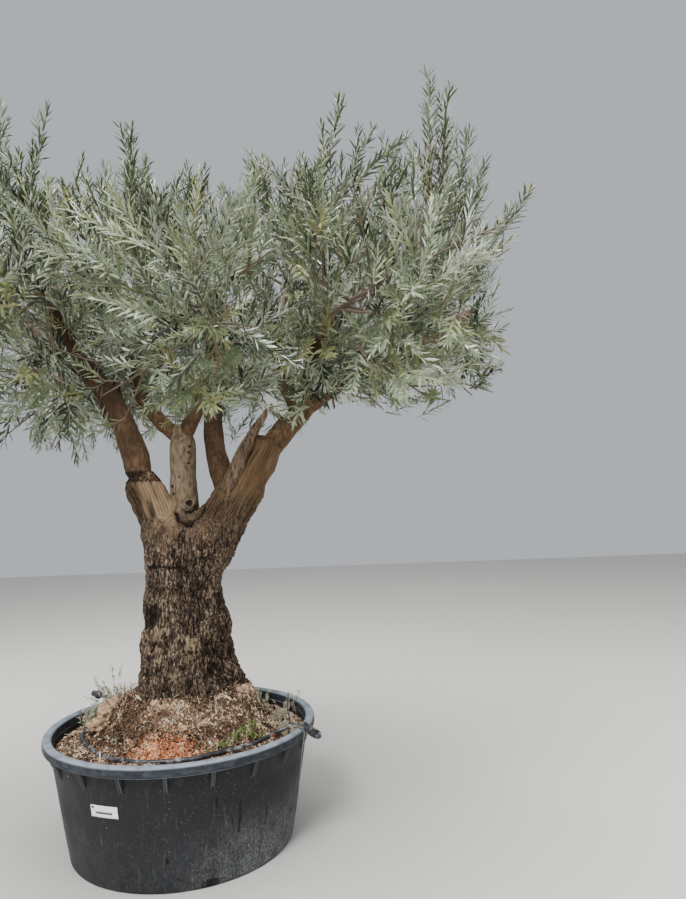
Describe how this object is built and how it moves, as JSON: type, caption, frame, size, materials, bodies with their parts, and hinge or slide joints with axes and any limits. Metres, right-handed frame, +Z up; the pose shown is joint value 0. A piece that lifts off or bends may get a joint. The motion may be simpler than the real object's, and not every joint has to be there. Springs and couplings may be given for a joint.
{
  "type": "potted olive tree",
  "caption": "old olive tree with a stout, hard-pruned trunk and a full crown, grown in a round black nursery pot",
  "frame": {"origin": "the middle of the pot's flat underside", "axes": "+Z up, +X to the right and +Y away from the viewer who looks at the side with the label"},
  "size_m": [3.6395, 2.7817, 3.8475],
  "materials": {
    "pot_plastic": "satin",
    "earth": "matte",
    "bark": "matte",
    "bare_wood": "matte",
    "pipe": "satin",
    "leaves": "matte"
  },
  "bodies": {
    "root": {"pot": "pot_plastic", "soil": "earth", "trunk": "bark", "left_stub": "bark", "centre_stub": "bark", "right_stub": "bark", "left_limb": "bark", "right_bough": "bark", "back_bough": "bark", "centre_arm": "bark", "front_arm": "bark", "left_front_arm": "bark", "left_back_arm": "bark", "right_up_arm": "bark", "right_out_arm": "bark", "right_front_arm": "bark", "right_back_arm": "bark", "dead_sliver": "bare_wood", "drip_hose": "pipe", "hose_tail": "pipe", "hose_sleeve": "pipe", "hose_coupling": "pipe", "left_mass": "leaves", "left_front_mass": "leaves", "left_back_mass": "leaves", "centre_mass": "leaves", "front_mass": "leaves", "back_mass": "leaves", "right_top_mass": "leaves", "right_mass": "leaves", "right_front_mass": "leaves", "right_back_mass": "leaves"}
  },
  "joints": []
}
